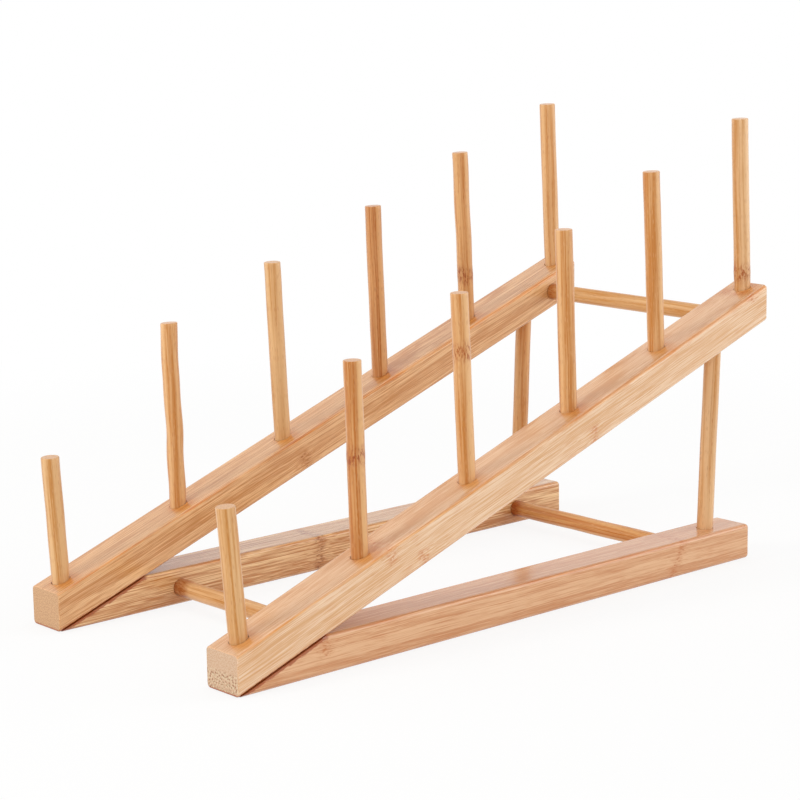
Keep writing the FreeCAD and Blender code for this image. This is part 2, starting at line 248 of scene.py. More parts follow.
@dataclass(frozen=True)
class Bamboo:
    """Bamboo, planed or turned, sanded and sealed with a satin varnish.

    Long fibre bundles run through pale soft tissue. Cut along, they show as fine streaks and short
    flecks; cut across, as dots. At the knuckles of the cane the streaks waver and darken. The thin
    varnish mirrors the room softly and veils surfaces that are seen at a slant. Real fibres are a
    third of a millimetre wide, too fine to show from a step away, so the streaks are drawn coarser.
    Lengths are in millimetres.
    """

    # Each pattern's length along the grain and width across it
    streak: tuple[float, float] = (34.0, 0.42)
    band: tuple[float, float] = (60.0, 1.6)
    tide: tuple[float, float] = (170.0, 9.0)
    fleck: tuple[float, float] = (9.0, 0.5)
    dash: tuple[float, float] = (2.6, 0.8)
    rag: tuple[float, float] = (14.0, 1.6)
    seam_break: tuple[float, float] = (30.0, 6.0)
    edge_wear: tuple[float, float] = (26.0, 2.0)

    # How strongly each shows; the weights are those of streak, band and tide
    weights: tuple[float, float, float] = (1.6, 0.35, 0.25)
    dark_flecks: float = 0.45
    pale_flecks: float = 0.5
    dash_strength: float = 0.85
    knuckle_stain_and_shade: float = 0.12
    strip_swing: float = 0.3
    seam_strength: float = 0.4
    glue_and_shade_strength: float = 0.85
    end_fibre: float = 0.15
    bundle_strength: float = 0.55
    coarse_strength: float = 0.95
    tissue_strength: float = 0.9

    # Knuckles, glued strips, bundles in the ends and painted reflections of the pegs beside their feet;
    # the softness is half the length over which a mark ends, and the tissue's size is its share of a
    # coarse bundle's
    knuckle_reach: float = 5.0
    ripple_reach: float = 24.0
    rag_reach: float = 8.0
    mark_softness: float = 1.0
    strip_height: float = 5.8
    seam_width: float = 0.45
    top_shade_depths: tuple[float, float] = (0.7, 0.2)
    glue_and_shade_rag: float = 2.0
    bundle: float = 0.75
    coarse_bundle: float = 1.45
    coarse_softness: float = 0.8
    tissue_size: float = 0.9
    peg_reflection_offset: float = 3.5
    peg_reflection_reach: float = 9.5

    # How the grain wanders: along, across and how far; and how a dowel's darker and paler slabs, painted
    # sheen among them, are turned
    drift: tuple[float, float, float] = (90.0, 25.0, 3.0)
    ripple: tuple[float, float, float] = (9.0, 3.0, 1.3)
    slab_turn: float = math.radians(41.0)

    # Tints of edges (wear and painted shade), painted reflections of the pegs, ends, old glue with
    # painted shade, and coarse bundles with the tissue around them
    edge_wear_and_shade_tint: str = "#FAD496"
    peg_reflection_tint: str = "#F7DDAC"
    end_tint: str = "#DEDAD6"
    glue_and_shade: str = "#9E4400"
    coarse_dark: str = "#9C5A28"
    coarse_pale: str = "#FFEFC8"

    # The sanded surface, its varnish and the fine fuzz of fibres under it
    relief: float = 0.04
    relief_strength: float = 0.4
    roughness: float = 0.44
    end_roughness: float = 0.25
    gloss: float = 0.15
    varnish: float = 0.9
    varnish_roughness: float = 0.18
    fuzz: float = 0.0
    fuzz_roughness: float = 0.5

    def material(
        self, name: str, lay: Lay, growth: Growth, section: Section | None = None
    ) -> bpy.types.Material:
        """Make this finish for one piece.

        Args:
            name: The material's name.
            lay: Where the piece starts and how its grain is turned.
            growth: What is the piece's own.
            section: A rail's section, or None for a round piece.

        Returns:
            The material.
        """
        material = bpy.data.materials.new(name)
        graph = Graph(material)
        soft, fibre, dark = (linear(colour) for colour in growth.tone.value)
        seed = growth.seed

        place = graph.add("TexCoord", {}, "Object")
        along = lay.millimetres(graph, place)
        knuckle = self.knuckle_mask(graph, along, growth, self.knuckle_reach)
        around = self.knuckle_mask(graph, along, growth, self.ripple_reach)
        grain = self.wandering_grain(graph, along, around, seed)

        level = self.darkness(graph, grain, growth)
        if section:
            level = self.strips(graph, grain, level, seed)
        share = graph.add("MapRange", {0: level, **TONE_FADE}, **SMOOTH)
        colour = graph.add("Mix", {0: share, 6: soft, 7: fibre}, **BLEND)

        fleck_kinds = (
            (dark, seed, self.dark_flecks),
            (soft, seed + SeedStep.PALE_FLECKS, self.pale_flecks),
        )
        for drawn, fleck_seed, strength in fleck_kinds:
            flecks = self.flecks(graph, grain, fleck_seed)
            share = graph.add("Math", {0: flecks, 1: strength}, operation="MULTIPLY")
            colour = graph.add("Mix", {0: share, 6: colour, 7: drawn}, **BLEND)
        share = self.knuckle_dashes(graph, grain, knuckle, seed)
        colour = graph.add("Mix", {0: share, 6: colour, 7: dark}, **BLEND)
        if section:
            # Painted shade darkens the rail's top face
            colour = self.painted_top_shade(graph, along, colour, section, growth)
            # Wear and painted shade warm the rounded long edges
            colour = self.edges(graph, along, colour, section, seed)
            # Painted reflections of the pegs: amber patches on the top beside their feet
            colour = self.foot_peg_reflections(graph, along, colour, section)

        # Where the grain is cut across, its bundles show as dots
        normal = graph.add("TexCoord", {}, "Normal")
        facing = graph.add("VectorMath", {0: normal, 1: lay.grain}, "Value", operation="DOT_PRODUCT")
        facing = graph.add("Math", {0: facing}, operation="ABSOLUTE")
        across = graph.add("MapRange", {0: facing, **END_FADE}, **SMOOTH)
        coarse_end = section.coarse_end if section else 0.0
        ends = self.end_grain(graph, along, growth.tone, coarse_end)
        colour = graph.add("Mix", {0: across, 6: colour, 7: ends}, **BLEND)
        if section:
            # Old glue and painted shade darken the seam of the wedge joint
            colour = self.joint_line(graph, place, lay, colour, section)

        inputs = {"Strength": self.relief_strength, "Distance": self.relief * MM, "Height": level}
        bump = graph.add("Bump", inputs, invert=True)
        inputs = {0: across, 1: self.end_roughness, 2: self.roughness}
        rough = graph.add("Math", inputs, operation="MULTIPLY_ADD")
        shader = graph.add(
            "BsdfPrincipled",
            {
                "Base Color": colour,
                "Roughness": rough,
                "IOR": VARNISH_IOR,
                "Specular IOR Level": self.gloss,
                "Coat Weight": self.varnish,
                "Coat Roughness": self.varnish_roughness,
                "Coat IOR": VARNISH_IOR,
                "Sheen Weight": self.fuzz,
                "Sheen Roughness": self.fuzz_roughness,
                "Normal": bump,
            },
        )
        graph.add("OutputMaterial", {0: shader}, None)
        return material

    def streaks(
        self, graph: Graph, grain: NodeSocket, size: tuple[float, float], seed: float
    ) -> NodeSocket:
        """Soft streaks along the grain.

        Args:
            graph: The material's graph.
            grain: Millimetres along and across the grain.
            size: A streak's length and width.
            seed: Moves the pattern.

        Returns:
            The streaks' socket, from 0 to 1 around a half.
        """
        length, width = size
        corner = tuple(seed * spread for spread in SEED_SPREAD)
        inputs = {0: grain, 1: corner, 3: (1 / length, 1 / width, 1 / width)}
        scaled = graph.add("Mapping", inputs)
        return graph.add("TexNoise", {"Vector": scaled, "Scale": 1.0, "Detail": 2.0, "Roughness": 0.6})

    def darkness(self, graph: Graph, grain: NodeSocket, growth: Growth) -> NodeSocket:
        """How dark the grain is, from streaks of three sizes and the piece's darker and paler slabs, with
        painted sheen at a dowel's sides.

        Args:
            graph: The material's graph.
            grain: Millimetres along and across the grain.
            growth: The piece's seed and its darker and paler slabs.

        Returns:
            The darkness, around a half.
        """
        level: Feed = 0.5
        sizes = (self.streak, self.band, self.tide)
        for number, (size, weight) in enumerate(zip(sizes, self.weights)):
            streaks = self.streaks(graph, grain, size, growth.seed + SeedStep.STREAKS * number)
            swing = graph.add("Math", {0: streaks, 1: 0.5}, operation="SUBTRACT")
            level = graph.add("Math", {0: swing, 1: weight, 2: level}, operation="MULTIPLY_ADD")

        # The slabs of all upright dowels stand the same way round, so the pale ones at the sides paint
        # sheen on the same sides of each
        normal = (0.0, math.sin(self.slab_turn), math.cos(self.slab_turn))
        for layer in growth.layers:
            depth = graph.add("VectorMath", {0: grain, 1: normal}, "Value", operation="DOT_PRODUCT")
            depth = graph.add("Math", {0: depth, 1: layer.offset}, operation="SUBTRACT")
            depth = graph.add("Math", {0: depth}, operation="ABSOLUTE")
            inputs = {0: depth, 1: layer.half_width, 2: 0.0, 3: 0.0, 4: layer.shade}
            shade = graph.add("MapRange", inputs, **SMOOTH)
            level = graph.add("Math", {0: level, 1: shade}, operation="ADD")
        return level

    def knuckle_mask(self, graph: Graph, along: NodeSocket, growth: Growth, reach: float) -> Feed:
        """Humps of 1 at the knuckles, with a ragged front across the piece.

        Args:
            graph: The material's graph.
            along: Millimetres along and across the piece.
            growth: The places of the knuckles.
            reach: How far a hump goes along the piece.

        Returns:
            The mask's socket, or 0 for a piece without knuckles.
        """
        mask: Feed = 0.0
        if not growth.knuckles:
            return mask
        rag = self.streaks(graph, along, self.rag, growth.seed + SeedStep.RAG)
        length = graph.add("SeparateXYZ", {0: along}, "X")
        length = graph.add("Math", {0: rag, 1: self.rag_reach, 2: length}, operation="MULTIPLY_ADD")
        height = graph.add("SeparateXYZ", {0: along}, "Z")
        for knuckle in growth.knuckles:
            hump: Feed = 1.0
            inputs = {0: height, 1: -knuckle.lean, 2: length}
            leaning = graph.add("Math", inputs, operation="MULTIPLY_ADD")
            # The rag moves the mask by half its reach on average
            middle = knuckle.place + self.rag_reach / 2 - knuckle.lean * knuckle.height
            outer = knuckle.half_height + self.mark_softness
            inner = knuckle.half_height - self.mark_softness
            reaches = ((leaning, middle, reach, 0.0), (height, knuckle.height, outer, inner))
            for way, centre, far, near in reaches:
                distance = graph.add("Math", {0: way, 1: centre}, operation="SUBTRACT")
                distance = graph.add("Math", {0: distance}, operation="ABSOLUTE")
                fade = graph.add("MapRange", {0: distance, 1: far, 2: near}, **SMOOTH)
                hump = graph.add("Math", {0: hump, 1: fade}, operation="MULTIPLY")
            mask = graph.add("Math", {0: mask, 1: hump}, operation="MAXIMUM")
        return mask

    def wandering_grain(
        self, graph: Graph, along: NodeSocket, knuckle: Feed, seed: float
    ) -> NodeSocket:
        """Coordinates whose lines drift a little across the piece, and waver at the knuckles.

        Args:
            graph: The material's graph.
            along: Millimetres along and across the piece.
            knuckle: The mask of the stretches around the knuckles.
            seed: Moves the drift.

        Returns:
            The coordinates' socket.
        """
        moved = along
        for (length, width, reach), share in ((self.drift, 1.0), (self.ripple, knuckle)):
            inputs = {0: along, 1: (seed, -seed, seed), 3: (1 / length, 1 / width, 1 / width)}
            scaled = graph.add("Mapping", inputs)
            drift = graph.add("TexNoise", {"Vector": scaled, "Scale": 1.0, "Detail": 1.0}, "Color")
            drift = graph.add("VectorMath", {0: drift, 1: (0.5, 0.5, 0.5)}, operation="SUBTRACT")
            drift = graph.add("VectorMath", {0: drift, 1: (0.0, reach, reach)}, operation="MULTIPLY")
            drift = graph.add("VectorMath", {0: drift, "Scale": share}, operation="SCALE")
            moved = graph.add("VectorMath", {0: moved, 1: drift}, operation="ADD")
        return moved

    def strips(self, graph: Graph, grain: NodeSocket, level: NodeSocket, seed: float) -> NodeSocket:
        """Strips glued on top of each other, each a little darker or paler, with dark seams between.

        Args:
            graph: The material's graph.
            grain: Millimetres along and across the grain.
            level: How dark the streaks are.
            seed: Picks the strips' shades and the place of the first seam.

        Returns:
            The darkness with the strips in it.
        """
        height = graph.add("SeparateXYZ", {0: grain}, "Z")
        offset = math.modf(seed * STRIP_SHIFT)[0]
        inputs = {0: height, 1: 1 / self.strip_height, 2: offset}
        strip = graph.add("Math", inputs, operation="MULTIPLY_ADD")
        number = graph.add("Math", {0: strip, 1: seed}, operation="ADD")
        number = graph.add("Math", {0: number}, operation="FLOOR")
        shade = graph.add("TexWhiteNoise", {"W": number}, noise_dimensions="1D")
        shade = graph.add("Math", {0: shade, 1: 0.5}, operation="SUBTRACT")
        level = graph.add("Math", {0: shade, 1: self.strip_swing, 2: level}, operation="MULTIPLY_ADD")
        part = graph.add("Math", {0: strip}, operation="FRACT")
        part = graph.add("Math", {0: part, 1: 0.5}, operation="SUBTRACT")
        part = graph.add("Math", {0: part}, operation="ABSOLUTE")
        inputs = {0: part, 1: 0.5 - self.seam_width / self.strip_height, 2: 0.5}
        seam = graph.add("MapRange", inputs, **SMOOTH)
        broken = self.streaks(graph, grain, self.seam_break, seed + SeedStep.SEAMS)
        broken = graph.add("MapRange", {0: broken, **SEAM_FADE})
        seam = graph.add("Math", {0: seam, 1: broken}, operation="MULTIPLY")
        return graph.add("Math", {0: seam, 1: self.seam_strength, 2: level}, operation="MULTIPLY_ADD")

    def flecks(self, graph: Graph, grain: NodeSocket, seed: float) -> NodeSocket:
        """Short flecks where a fibre bundle comes to the surface.

        Args:
            graph: The material's graph.
            grain: Millimetres along and across the grain.
            seed: Moves the flecks.

        Returns:
            The mask of the flecks.
        """
        length, width = self.fleck
        inputs = {0: grain, 1: (seed * 3, seed, seed), 3: (1 / length, 1 / width, 1 / width)}
        scaled = graph.add("Mapping", inputs)
        cells = {"Vector": scaled, "Scale": 1.0}
        distance = graph.add("TexVoronoi", cells, "Distance")
        core = graph.add("MapRange", {0: distance, **FLECK_FADE}, **SMOOTH)
        chance = graph.add("TexVoronoi", cells, "Color")
        chance = graph.add("SeparateColor", {0: chance})
        chance = graph.add("MapRange", {0: chance, **FLECK_CHANCE}, **SMOOTH)
        return graph.add("Math", {0: core, 1: chance}, operation="MULTIPLY")

    def knuckle_dashes(
        self, graph: Graph, grain: NodeSocket, knuckle: Feed, seed: float
    ) -> NodeSocket:
        """Short ragged dashes that darken the knuckles.

        Args:
            graph: The material's graph.
            grain: Millimetres along and across the grain.
            knuckle: The mask of the knuckles.
            seed: Moves the dashes.

        Returns:
            The share of the dark colour.
        """
        dashes = self.streaks(graph, grain, self.dash, seed + SeedStep.DASHES)
        dashes = graph.add("MapRange", {0: dashes, **DASH_FADE}, **SMOOTH)
        inputs = {0: dashes, 1: self.dash_strength, 2: self.knuckle_stain_and_shade}
        share = graph.add("Math", inputs, operation="MULTIPLY_ADD", use_clamp=True)
        return graph.add("Math", {0: share, 1: knuckle}, operation="MULTIPLY")

    def painted_top_shade(
        self, graph: Graph, along: NodeSocket, colour: NodeSocket, section: Section, growth: Growth
    ) -> NodeSocket:
        """Darken the rail's top face with a painted shade.

        Args:
            graph: The material's graph.
            along: Millimetres along and across the rail.
            colour: The colour so far.
            section: The rail's section.
            growth: The tint of the painted top shade.

        Returns:
            The colour with the painted top shade.
        """
        height = graph.add("SeparateXYZ", {0: along}, "Z")
        low, high = (section.height - depth for depth in self.top_shade_depths)
        share = graph.add("MapRange", {0: height, 1: low, 2: high})
        return graph.add("Mix", {0: share, 6: colour, 7: linear(growth.top_shade_tint)}, **TINT)

    def edges(
        self, graph: Graph, along: NodeSocket, colour: NodeSocket, section: Section, seed: float
    ) -> NodeSocket:
        """Warm the rounded long edges: partly wear, where sanding opened the fibres and the varnish
        soaked in, and partly painted shade that takes the varnish's highlight off them.

        Args:
            graph: The material's graph.
            along: Millimetres along and across the rail.
            colour: The colour so far.
            section: The rail's section.
            seed: Moves the places where the edge is paler.

        Returns:
            The colour with its edges.
        """
        reaches = []
        for axis, middle, size in (("Y", 0.0, section.width), ("Z", section.height / 2, section.height)):
            reach = graph.add("SeparateXYZ", {0: along}, axis)
            reach = graph.add("Math", {0: reach, 1: middle}, operation="SUBTRACT")
            reach = graph.add("Math", {0: reach}, operation="ABSOLUTE")
            reach = graph.add("Math", {0: reach, 1: size / 2 - section.edge_round}, operation="SUBTRACT")
            reaches.append(reach)
        depth = graph.add("Math", dict(enumerate(reaches)), operation="MINIMUM")
        edge = graph.add("MapRange", {0: depth, **EDGE_FADE}, **SMOOTH)
        worn = self.streaks(graph, along, self.edge_wear, seed + SeedStep.EDGE_WEAR)
        worn = graph.add("MapRange", {0: worn, **WEAR_FADE})
        share = graph.add("Math", {0: edge, 1: worn}, operation="MULTIPLY")
        return graph.add("Mix", {0: share, 6: colour, 7: linear(self.edge_wear_and_shade_tint)}, **TINT)

    def foot_peg_reflections(
        self, graph: Graph, along: NodeSocket, colour: NodeSocket, section: Section
    ) -> NodeSocket:
        """Painted reflections of the pegs in the varnished top: amber patches beside their feet.

        Args:
            graph: The material's graph.
            along: Millimetres along and across the rail.
            colour: The colour so far.
            section: The rail's height and the places of the feet.

        Returns:
            The colour with the patches.
        """
        share: Feed = 0.0
        for foot in section.feet:
            middle = (foot, -self.peg_reflection_offset, section.height)
            distance = graph.add("VectorMath", {0: along, 1: middle}, "Value", operation="DISTANCE")
            inputs = {0: distance, 1: self.peg_reflection_reach, 2: self.peg_reflection_offset}
            peg_reflection = graph.add("MapRange", inputs, **SMOOTH)
            share = graph.add("Math", {0: share, 1: peg_reflection}, operation="MAXIMUM")
        return graph.add("Mix", {0: share, 6: colour, 7: linear(self.peg_reflection_tint)}, **TINT)

    def joint_line(
        self, graph: Graph, place: NodeSocket, lay: Lay, colour: NodeSocket, section: Section
    ) -> NodeSocket:
        """Old glue and painted shade that darken the seam of the wedge joint.

        Args:
            graph: The material's graph.
            place: Object coordinates.
            lay: Where the rail starts.
            colour: The colour so far.
            section: The joint's slope and length.

        Returns:
            The colour with the seam.
        """
        seat = Lay(lay.start, Euler((0.0, -section.joint_slope, 0.0)))
        along = seat.millimetres(graph, place)
        height = graph.add("SeparateXYZ", {0: along}, "Z")
        rag = self.streaks(graph, along, self.dash, GLUE_AND_SHADE_SEED)
        height = graph.add("Math", {0: height}, operation="ABSOLUTE")
        height = graph.add("Math", {0: rag, 1: self.glue_and_shade_rag, 2: height}, operation="MULTIPLY_ADD")
        near = graph.add("MapRange", {0: height, **GLUE_AND_SHADE_FADE}, **SMOOTH)
        length = graph.add("SeparateXYZ", {0: along}, "X")
        outer, inner = section.joint_end + self.mark_softness, section.joint_end - self.mark_softness
        inside = graph.add("MapRange", {0: length, 1: outer, 2: inner})
        share = graph.add("Math", {0: near, 1: inside}, operation="MULTIPLY")
        share = graph.add("Math", {0: share, 1: self.glue_and_shade_strength}, operation="MULTIPLY")
        return graph.add("Mix", {0: share, 6: colour, 7: linear(self.glue_and_shade)}, **BLEND)

    def end_grain(
        self, graph: Graph, along: NodeSocket, tone: Tone, coarse_end: float
    ) -> NodeSocket:
        """Dots of fibre bundles in soft tissue, fine near the cane's skin and coarse inside it.

        Args:
            graph: The material's graph.
            along: Millimetres along and across the piece.
            tone: The piece's colours.
            coarse_end: Height up to which the bundles are coarse.

        Returns:
            The end grain's colour.
        """
        soft, fibre, dark = (linear(colour) for colour in tone.value)
        parts = [graph.add("SeparateXYZ", {0: along}, axis) for axis in "YZ"]
        flat = graph.add("CombineXYZ", {0: parts[0], 1: parts[1]})
        colour: NodeSocket | Colour = soft
        sizes = [(self.bundle, self.bundle_strength, dark)]
        if coarse_end:
            tissue = self.coarse_bundle * self.tissue_size
            sizes.append((self.coarse_bundle, self.coarse_strength, linear(self.coarse_dark)))
            sizes.append((tissue, self.tissue_strength, linear(self.coarse_pale)))
        for spacing, strength, drawn in sizes:
            cells = {"Vector": flat, "Scale": 1 / spacing}
            dots = graph.add("TexVoronoi", cells, "Distance", voronoi_dimensions="2D")
            dots = graph.add("MapRange", {0: dots, **DOT_FADE, 3: 0.0, 4: strength})
            if spacing > self.bundle:
                outer, inner = coarse_end + self.coarse_softness, coarse_end - self.coarse_softness
                low = graph.add("MapRange", {0: parts[1], 1: outer, 2: inner}, **SMOOTH)
                dots = graph.add("Math", {0: dots, 1: low}, operation="MULTIPLY")
            colour = graph.add("Mix", {0: dots, 6: colour, 7: drawn}, **BLEND)
        colour = graph.add("Mix", {0: self.end_fibre, 6: colour, 7: fibre}, **BLEND)
        # Sawn ends soak up varnish and are darker than the faces along the grain
        return graph.add("Mix", {0: 1.0, 6: colour, 7: linear(self.end_tint)}, **TINT)


@dataclass(frozen=True)
class ZincSteel:
    """Steel screws with a bright zinc plating: cool grey metal with a faint turned grain."""

    colour: str = "#B9BDC1"
    shade: str = "#8D9297"
    grain: float = 0.4
    roughness: float = 0.34
    roughness_swing: float = 0.2

    def material(self, name: str) -> bpy.types.Material:
        """Make the plating's material.

        Args:
            name: The material's name.

        Returns:
            The material.
        """
        material = bpy.data.materials.new(name)
        graph = Graph(material)
        place = graph.add("TexCoord", {}, "Object")
        turned = graph.add("TexNoise", {"Vector": place, "Scale": 1 / (self.grain * MM), "Detail": 3.0})
        colours = {0: turned, 6: linear(self.colour), 7: linear(self.shade)}
        colour = graph.add("Mix", colours, **BLEND)
        inputs = {0: turned, 1: self.roughness_swing, 2: self.roughness - self.roughness_swing / 2}
        rough = graph.add("Math", inputs, operation="MULTIPLY_ADD")
        inputs = {"Base Color": colour, "Roughness": rough, "Metallic": 1.0}
        shader = graph.add("BsdfPrincipled", inputs)
        graph.add("OutputMaterial", {0: shader}, None)
        return material


RAIL_BAMBOO = Bamboo()
DOWEL_BAMBOO = Bamboo(
    streak=(45.0, 0.6),
    band=(70.0, 1.8),
    tide=(90.0, 5.0),
    fleck=(4.0, 0.45),
    dash_strength=0.9,
    knuckle_stain_and_shade=0.2,
    weights=(0.7, 0.75, 0.55),
    drift=(60.0, 12.0, 1.4),
    knuckle_reach=7.0,
    ripple_reach=14.0,
    end_tint="#F4EADA",
    varnish=0.45,
    varnish_roughness=0.26,
    fuzz=0.3,
)
# The crossbars' strong knuckle stain darkens their knuckles near the far rail: the knuckles' own stain,
# and painted shade where the bars go into that rail
CROSSBAR_BAMBOO = replace(
    DOWEL_BAMBOO, dash_strength=0.95, knuckle_stain_and_shade=0.7, varnish=0.35, fuzz=0.05
)


def dress(node: str, material: bpy.types.Material) -> None:
    """Put a material in every slot of a node that keeps its own shape."""
    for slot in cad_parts[node].material_slots:
        slot.material = material
    log.info("%s wears %s", node, material.name)


def slope_angle(sloped_rail: str, base_rail: str) -> float:
    """The slope of a rail with upright ends, from its box and the height that both rails share.

    Args:
        sloped_rail: The sloped rail's node.
        base_rail: The base rail's node.

    Returns:
        The slope in radians.
    """
    low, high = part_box(sloped_rail)
    run, rise = high.x - low.x, high.z - low.z
    base_low, base_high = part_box(base_rail)
    return math.atan2(rise, run) - math.asin((base_high.z - base_low.z) / math.hypot(run, rise))


@dataclass(frozen=True)
class Dowel:
    """A turned length of bamboo that stands for its node, a little uneven as such turning is.

    Lengths are in millimetres and angles in degrees. The tip slack keeps the tip inside its node, and
    the wander depths are where in the noise the dowel's two sideways wanders are found.
    """

    node: str
    growth: Growth
    finish: Bamboo = DOWEL_BAMBOO
    cut_slant: float = 0.0
    unevenness: float = 0.1
    sides: int = 48
    ring_step: float = 2.0
    rim_ease: float = 0.4
    rim_segments: int = 3
    wander_length: float = 18.0
    wander_depths: tuple[float, float] = (0.3, 9.7)
    cut_reach: float = 6.0
    knuckle_swell: float = 0.12
    knuckle_reach: float = 4.0
    tip_slack: float = 0.1

    def line(self) -> tuple[Vector, Vector, float]:
        """Where the node's middle line starts and ends, and its radius.

        Returns:
            The lower or right-hand end, the other end and the radius, in metres.
        """
        points = np.array([vertex.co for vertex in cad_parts[self.node].data.vertices])
        middle = points.mean(axis=0)
        axis = np.linalg.svd(points - middle, full_matrices=False)[2][0]
        axis = axis if axis.sum() > 0 else -axis
        lengths = (points - middle) @ axis
        across = points - middle - np.outer(lengths, axis)
        radius = float(np.linalg.norm(across, axis=1).max())
        start, end = (Vector(middle + axis * reach) for reach in (lengths.min(), lengths.max()))
        return start, end, radius

    def lay(self) -> Lay:
        """How the dowel's grain lies."""
        start, end, _ = self.line()
        return Lay(start, (end - start).to_track_quat("X", "Z").to_euler())

    def build(self) -> bpy.types.Object:
        """Model the dowel ring by ring along its own X, and put it where its node is.

        Returns:
            The finished piece.
        """
        start, end, radius = self.line()
        length = (end - start).length / MM - self.tip_slack
        mesh = bmesh.new()
        ring = bmesh.ops.create_circle(mesh, segments=self.sides, radius=radius, cap_ends=True)["verts"]
        upright = Matrix.Rotation(math.radians(90), 3, "Y")
        bmesh.ops.rotate(mesh, verts=ring, cent=(0, 0, 0), matrix=upright)
        steps = round(length / self.ring_step)
        edges = list(mesh.edges)
        for _ in range(steps):
            made = bmesh.ops.extrude_edge_only(mesh, edges=edges)["geom"]
            ring = {item for item in made if isinstance(item, bmesh.types.BMVert)}
            edges = [item for item in made if isinstance(item, bmesh.types.BMEdge)]
            edges = [edge for edge in edges if ring.issuperset(edge.verts)]
            bmesh.ops.translate(mesh, verts=list(ring), vec=(length / steps * MM, 0, 0))
        bmesh.ops.edgeloop_fill(mesh, edges=edges)
        self.ease_rims(mesh)
        self.make_uneven(mesh, length, radius)
        bmesh.ops.recalc_face_normals(mesh, faces=mesh.faces)
        place = Matrix.Translation(start) @ self.lay().turn.to_matrix().to_4x4()
        bmesh.ops.transform(mesh, matrix=place, verts=mesh.verts)
        data = bpy.data.meshes.new(self.node + "_turned")
        mesh.to_mesh(data)
        mesh.free()
        for face in data.polygons:
            face.use_smooth = len(face.vertices) == 4
        piece = bpy.data.objects.new(self.node + "_turned", data)
        bpy.context.scene.collection.objects.link(piece)
        return piece

    def ease_rims(self, mesh: bmesh.types.BMesh) -> None:
        """Round the rims of both ends a little."""
        caps = [face for face in mesh.faces if len(face.verts) > 4]
        rims = [edge for cap in caps for edge in cap.edges]
        bmesh.ops.bevel(
            mesh,
            geom=rims,
            offset=self.rim_ease * MM,
            offset_type="OFFSET",
            segments=self.rim_segments,
            profile=0.5,
            affect="EDGES",
            material=-1,
        )

    def make_uneven(self, mesh: bmesh.types.BMesh, length: float, radius: float) -> None:
        """Let the turned surface wander, swell at the knuckles and end in a slanting cut.

        Args:
            mesh: The dowel along its own X, from the origin.
            length: The dowel's length in millimetres.
            radius: The dowel's radius in metres.
        """
        slant = math.tan(math.radians(self.cut_slant))
        places = [knuckle.place for knuckle in self.growth.knuckles]
        for vert in mesh.verts:
            reach = vert.co.x / MM
            swell = sum(bell((reach - place) / self.knuckle_reach) for place in places)
            swell *= self.knuckle_swell * MM / radius
            # Plain noise depends on its place alone, while a noise vector changes with the clock
            row = reach / self.wander_length
            spots = (Vector((row, self.growth.seed, depth)) for depth in self.wander_depths)
            drift_y, drift_z = (noise.noise(spot) * self.unevenness * MM for spot in spots)
            vert.co.y = vert.co.y * (1 + swell) + drift_y
            vert.co.z = vert.co.z * (1 + swell) + drift_z
            near_end = bell(max(0.0, (length - reach) / self.cut_reach))
            vert.co.x += slant * vert.co.y * near_end

    def add(self) -> None:
        """Build the dowel, dress it and let it stand for its node."""
        piece = self.build()
        name = f"varnished_bamboo_{self.node}"
        piece.data.materials.append(self.finish.material(name, self.lay(), self.growth))
        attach(piece, BODY)
        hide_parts(self.node)
        log.info("%s stands for %s", piece.name, self.node)


@dataclass(frozen=True)
class SideFrame:
    """One wedge-shaped side: a base rail, a sloped rail, a post and a row of pegs.

    Lengths are in millimetres and angles in degrees; a slant or an unevenness is given by peg number.
    """

    side: Side
    base: Growth
    sloped: Growth
    post: Growth
    pegs: tuple[Growth, ...]
    cut_slants: Mapping[int, float] = field(default_factory=dict)
    unevenness: Mapping[int, float] = field(default_factory=dict)
    usual_unevenness: float = 0.18
    edge_round: float = 2.0
    coarse_end: float = 0.0

    def dress_rails(self) -> None:
        """Dress the rails in laminated bamboo, its grain along each of them."""
        base, sloped = f"base_rail_{self.side.value}", f"sloped_rail_{self.side.value}"
        slope = slope_angle(sloped, base)
        low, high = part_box(base)
        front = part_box(sloped)[0].x
        start = Vector((front, (low.y + high.y) / 2, 0.0))
        width, height = ((high - low) / MM).yz
        joint_end = height / math.sin(slope)
        feet = self.feet(start, slope, height)
        rails = ((base, self.base, 0.0, ()), (sloped, self.sloped, slope, feet))
        for node, growth, turn, places in rails:
            section = Section(width, height, self.edge_round, slope, joint_end, self.coarse_end, places)
            lay = Lay(start, Euler((0.0, -turn, 0.0)))
            dress(node, RAIL_BAMBOO.material(f"laminated_bamboo_{node}", lay, growth, section))

    def feet(self, start: Vector, slope: float, height: float) -> tuple[float, ...]:
        """Where the pegs come out of the sloped rail.

        Args:
            start: Where the rail starts.
            slope: The rail's slope in radians.
            height: The rail's height in millimetres.

        Returns:
            The pegs' places along the rail.
        """
        places = []
        grain = Vector((math.cos(slope), 0.0, math.sin(slope)))
        square = Vector((-math.sin(slope), 0.0, math.cos(slope)))
        for peg in self.peg_row():
            low, high, _ = peg.line()
            rise = (height * MM - (low - start).dot(square)) / (high - low).dot(square)
            places.append((low.lerp(high, rise) - start).dot(grain) / MM)
        return tuple(places)

    def peg_row(self) -> tuple[Dowel, ...]:
        """The row of pegs, counted from the front."""
        return tuple(
            Dowel(
                f"peg_{self.side.value}_{number}",
                growth,
                cut_slant=self.cut_slants.get(number, 0.0),
                unevenness=self.unevenness.get(number, self.usual_unevenness),
            )
            for number, growth in enumerate(self.pegs, 1)
        )

    def add(self) -> None:
        """Dress the rails and add the post and the pegs."""
        self.dress_rails()
        Dowel(f"rear_post_{self.side.value}", self.post).add()
        for peg in self.peg_row():
            peg.add()


@dataclass(frozen=True)
class Panel:
    """A square light panel that faces the rack.

    The turn is in degrees from the camera's side, to the right as the camera sees it. The height and
    the distance over the floor are in metres, and the power is in watts.
    """

    name: str
    turn: float
    height: float
    power: float
    distance: float = 1.6
    size: float = 1.2


